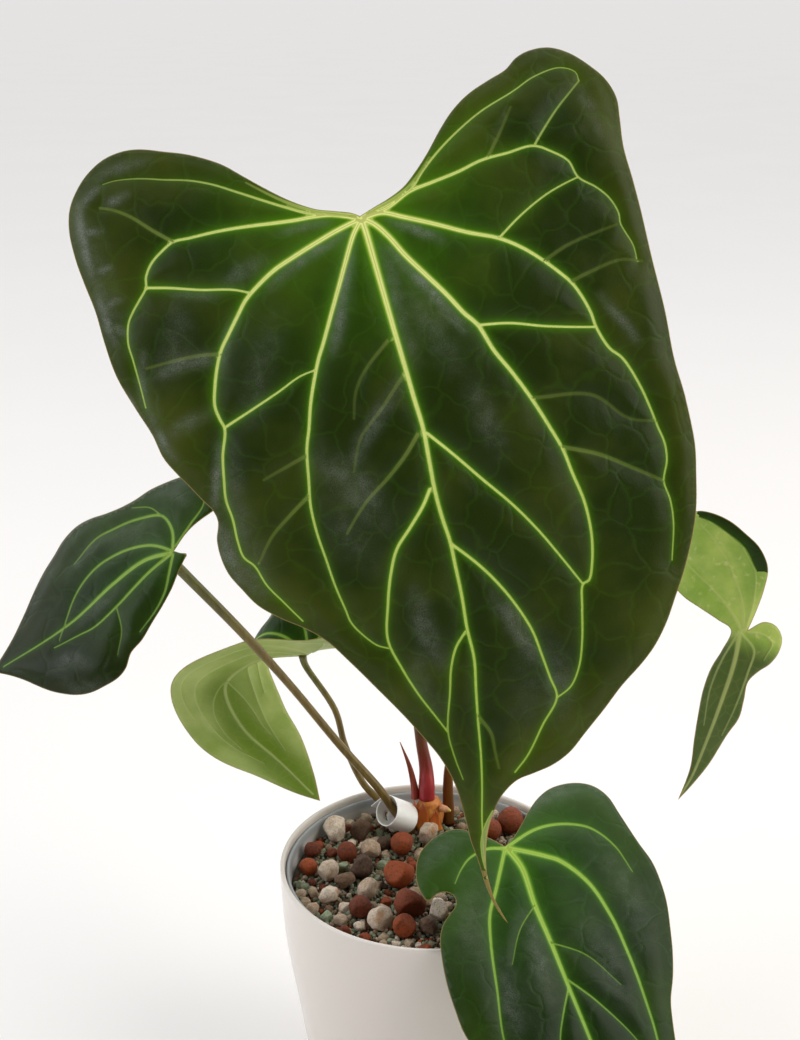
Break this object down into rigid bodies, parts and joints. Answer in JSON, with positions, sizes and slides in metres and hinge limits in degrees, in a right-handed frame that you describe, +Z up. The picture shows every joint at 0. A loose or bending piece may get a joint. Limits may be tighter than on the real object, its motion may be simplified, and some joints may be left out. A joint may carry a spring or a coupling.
{
  "type": "potted anthurium",
  "caption": "Potted anthurium with heart-shaped, pale-veined leaves on long stalks, rooted in coarse mineral mix in a round white cover pot with a liner.",
  "frame": {"origin": "middle of the pot's foot, on the surface the pot stands on", "axes": "+Z up, -Y towards the front, where the largest leaf shows its upper side, +X to the right seen from the front"},
  "size_m": [0.3864, 0.2574, 0.5274],
  "materials": {
    "cover_pot": "smooth white, soft gloss",
    "liner": "grey, satin",
    "mix": null,
    "clay": "fired clay, matt",
    "pumice": "pale pitted stone, matt",
    "lava": "dark pitted stone, matt",
    "leaf": "dark green blade with pale green veins, velvety with a soft sheen; paler underneath",
    "stalk": "brown-green, smooth, soft sheen",
    "red_stalk": "wine red at the foot, smooth",
    "rootstock": "orange-brown, fibrous",
    "tag": "blank white strip, satin"
  },
  "bodies": {
    "root": {"cover_pot": "cover_pot", "grow_liner": "liner", "growing_mix": "mix", "rootstock": "rootstock", "dry_sheath": "red_stalk", "aerial_root": "rootstock", "main_leaf_stalk": "red_stalk", "left_leaf_stalk": "stalk", "right_leaf_stalk": "stalk", "back_leaf_stalk": "stalk", "front_leaf_stalk": "stalk", "main_leaf": "leaf", "left_leaf": "leaf", "front_leaf": "leaf", "right_leaf": "leaf", "back_leaf": "leaf", "plant_tag": "tag", "clay_ball_1": "clay", "clay_ball_2": "clay", "clay_ball_3": "clay", "clay_ball_4": "clay", "clay_ball_5": "clay", "clay_ball_6": "clay", "clay_ball_7": "clay", "clay_ball_8": "clay", "clay_ball_9": "clay", "clay_ball_10": "clay", "pumice_1": "pumice", "pumice_2": "pumice", "pumice_3": "pumice", "pumice_4": "pumice", "pumice_5": "pumice", "pumice_6": "pumice", "pumice_7": "pumice", "pumice_8": "pumice", "pumice_9": "pumice", "lava_stone_1": "lava", "lava_stone_2": "lava", "lava_stone_3": "lava", "lava_stone_4": "lava", "lava_stone_5": "lava"}
  },
  "joints": []
}
